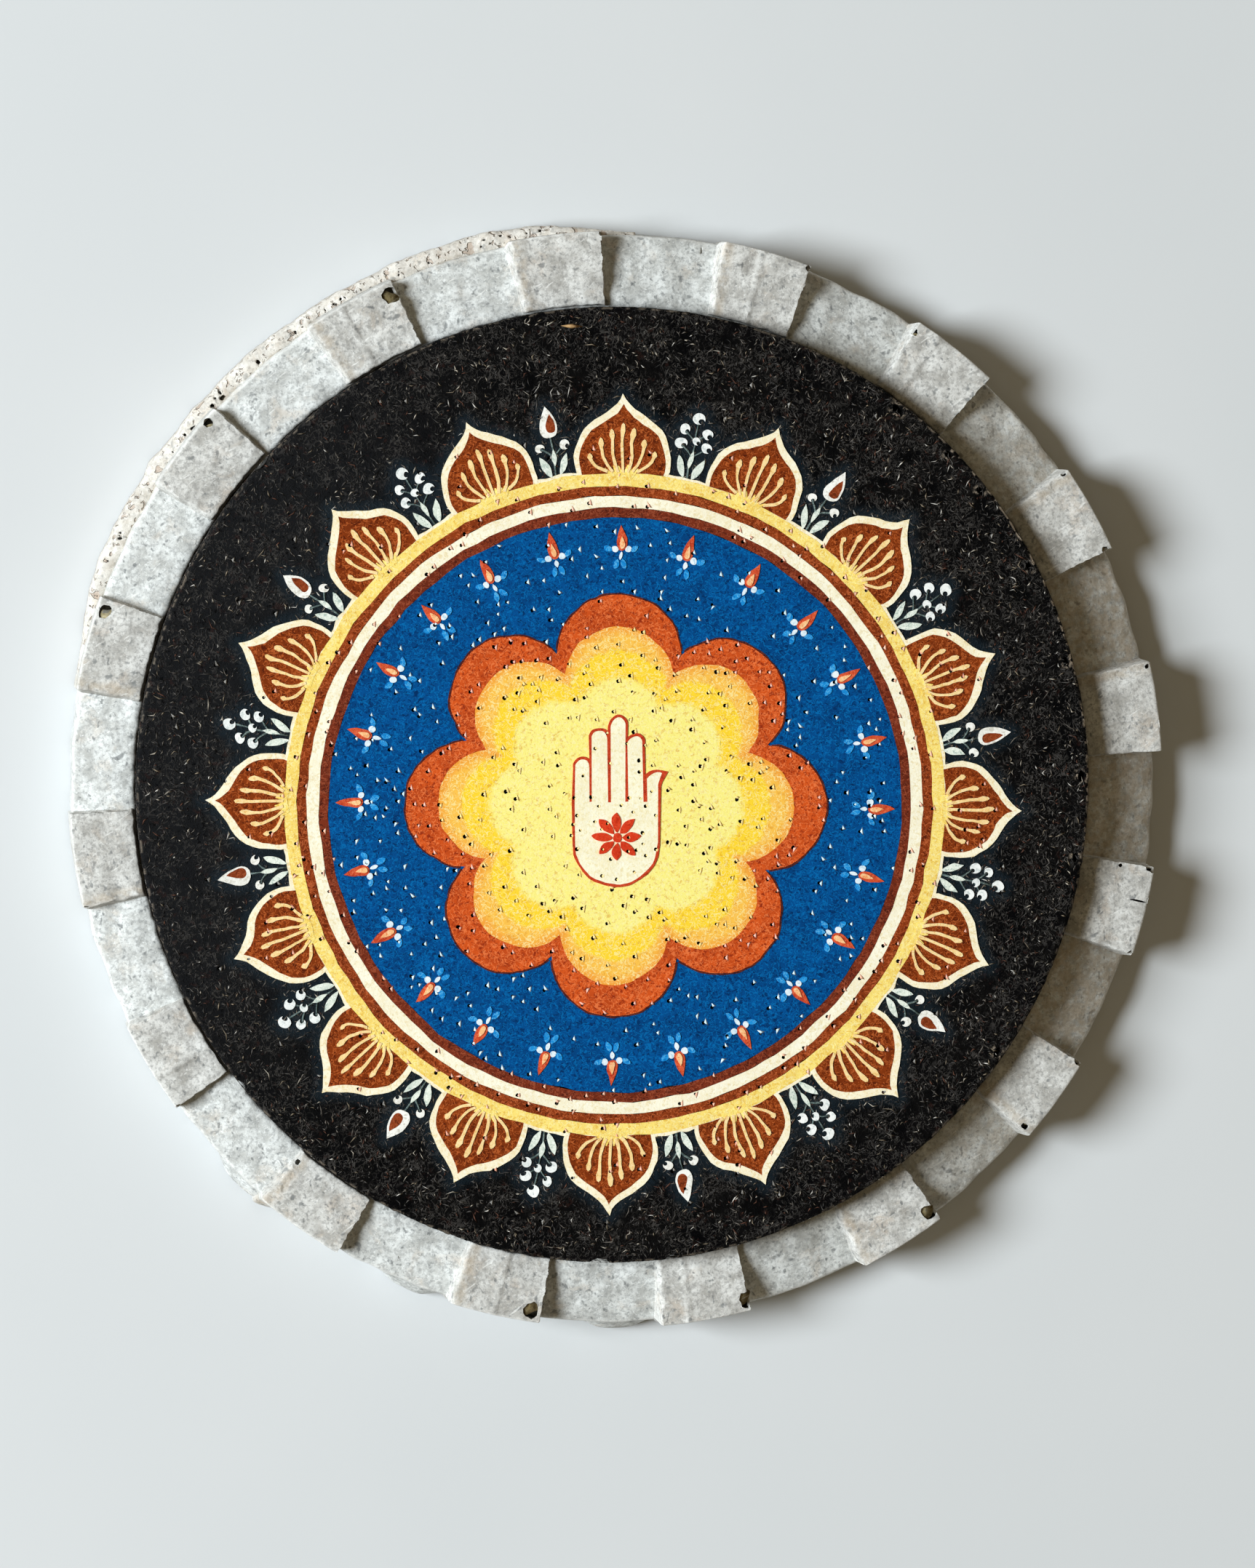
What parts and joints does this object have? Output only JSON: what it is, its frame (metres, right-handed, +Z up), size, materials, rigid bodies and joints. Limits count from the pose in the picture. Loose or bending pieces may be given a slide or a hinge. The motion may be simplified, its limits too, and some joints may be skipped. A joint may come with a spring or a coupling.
{
  "type": "painted ink cake in a paper tray",
  "caption": "Flat round cake of solid black ink with a painted rosette, lying in a shallow tray of pleated handmade paper and lifting out of it.",
  "frame": {"origin": "on the table under the centre of the ink cake, at the middle of the tray's flat underside", "axes": "+Z up out of the painted face, +Y the way the fingers of the painted hand point, +X to the right of the hand"},
  "size_m": [0.1378, 0.1377, 0.0131],
  "materials": {
    "backing_paper": "matte",
    "card": "matte",
    "lining_paper": "matte",
    "handmade_paper": "matte",
    "folded_paper": "matte",
    "black_ink": "matte",
    "blue_paint": "matte",
    "dark_brown_paint": "matte",
    "brown_paint": "matte",
    "cream_paint": "matte",
    "gold_paint": "matte",
    "straw_paint": "matte",
    "white_paint": "matte",
    "leaf_paint": "matte",
    "flame_paint": "matte",
    "sky_paint": "matte",
    "red_paint": "matte",
    "orange_paint": "matte",
    "yellow_paint": "matte",
    "pale_yellow_paint": "matte",
    "ivory_paint": "matte",
    "vermilion_paint": "matte"
  },
  "bodies": {
    "wrapper": {"backing_sheet": "backing_paper", "base_card": "card", "lining_paper": "lining_paper", "rim_core": "card", "paper_band": "handmade_paper", "pleat_01": "folded_paper", "pleat_02": "folded_paper", "pleat_03": "folded_paper", "pleat_04": "folded_paper", "pleat_05": "folded_paper", "pleat_06": "folded_paper", "pleat_07": "folded_paper", "pleat_08": "folded_paper", "pleat_09": "folded_paper", "pleat_10": "folded_paper", "pleat_11": "folded_paper", "pleat_12": "folded_paper", "pleat_13": "folded_paper", "pleat_14": "folded_paper", "pleat_15": "folded_paper", "pleat_16": "folded_paper"},
    "cake": {"ink_cake": "black_ink", "blue_field": "blue_paint", "brown_line": "dark_brown_paint", "cream_band": "cream_paint", "brown_band": "brown_paint", "gold_band": "gold_paint", "petal_fills": "brown_paint", "petal_outlines": "cream_paint", "petal_stamens": "straw_paint", "berry_sprigs": "white_paint", "bud_sprigs": "white_paint", "bud_centres": "brown_paint", "sprig_leaves": "leaf_paint", "flame_tips": "flame_paint", "flame_hearts": "straw_paint", "flame_dots": "white_paint", "flame_leaves": "sky_paint", "lotus_red": "red_paint", "lotus_orange": "orange_paint", "lotus_yellow": "yellow_paint", "lotus_cream": "pale_yellow_paint", "hand_fill": "ivory_paint", "hand_outline": "vermilion_paint", "palm_flower": "vermilion_paint"}
  },
  "joints": [
    {"name": "cake_lift", "type": "slide", "parent": "wrapper", "child": "cake", "axis": [0, 0, 1], "range_m": [0, 0.03]}
  ]
}
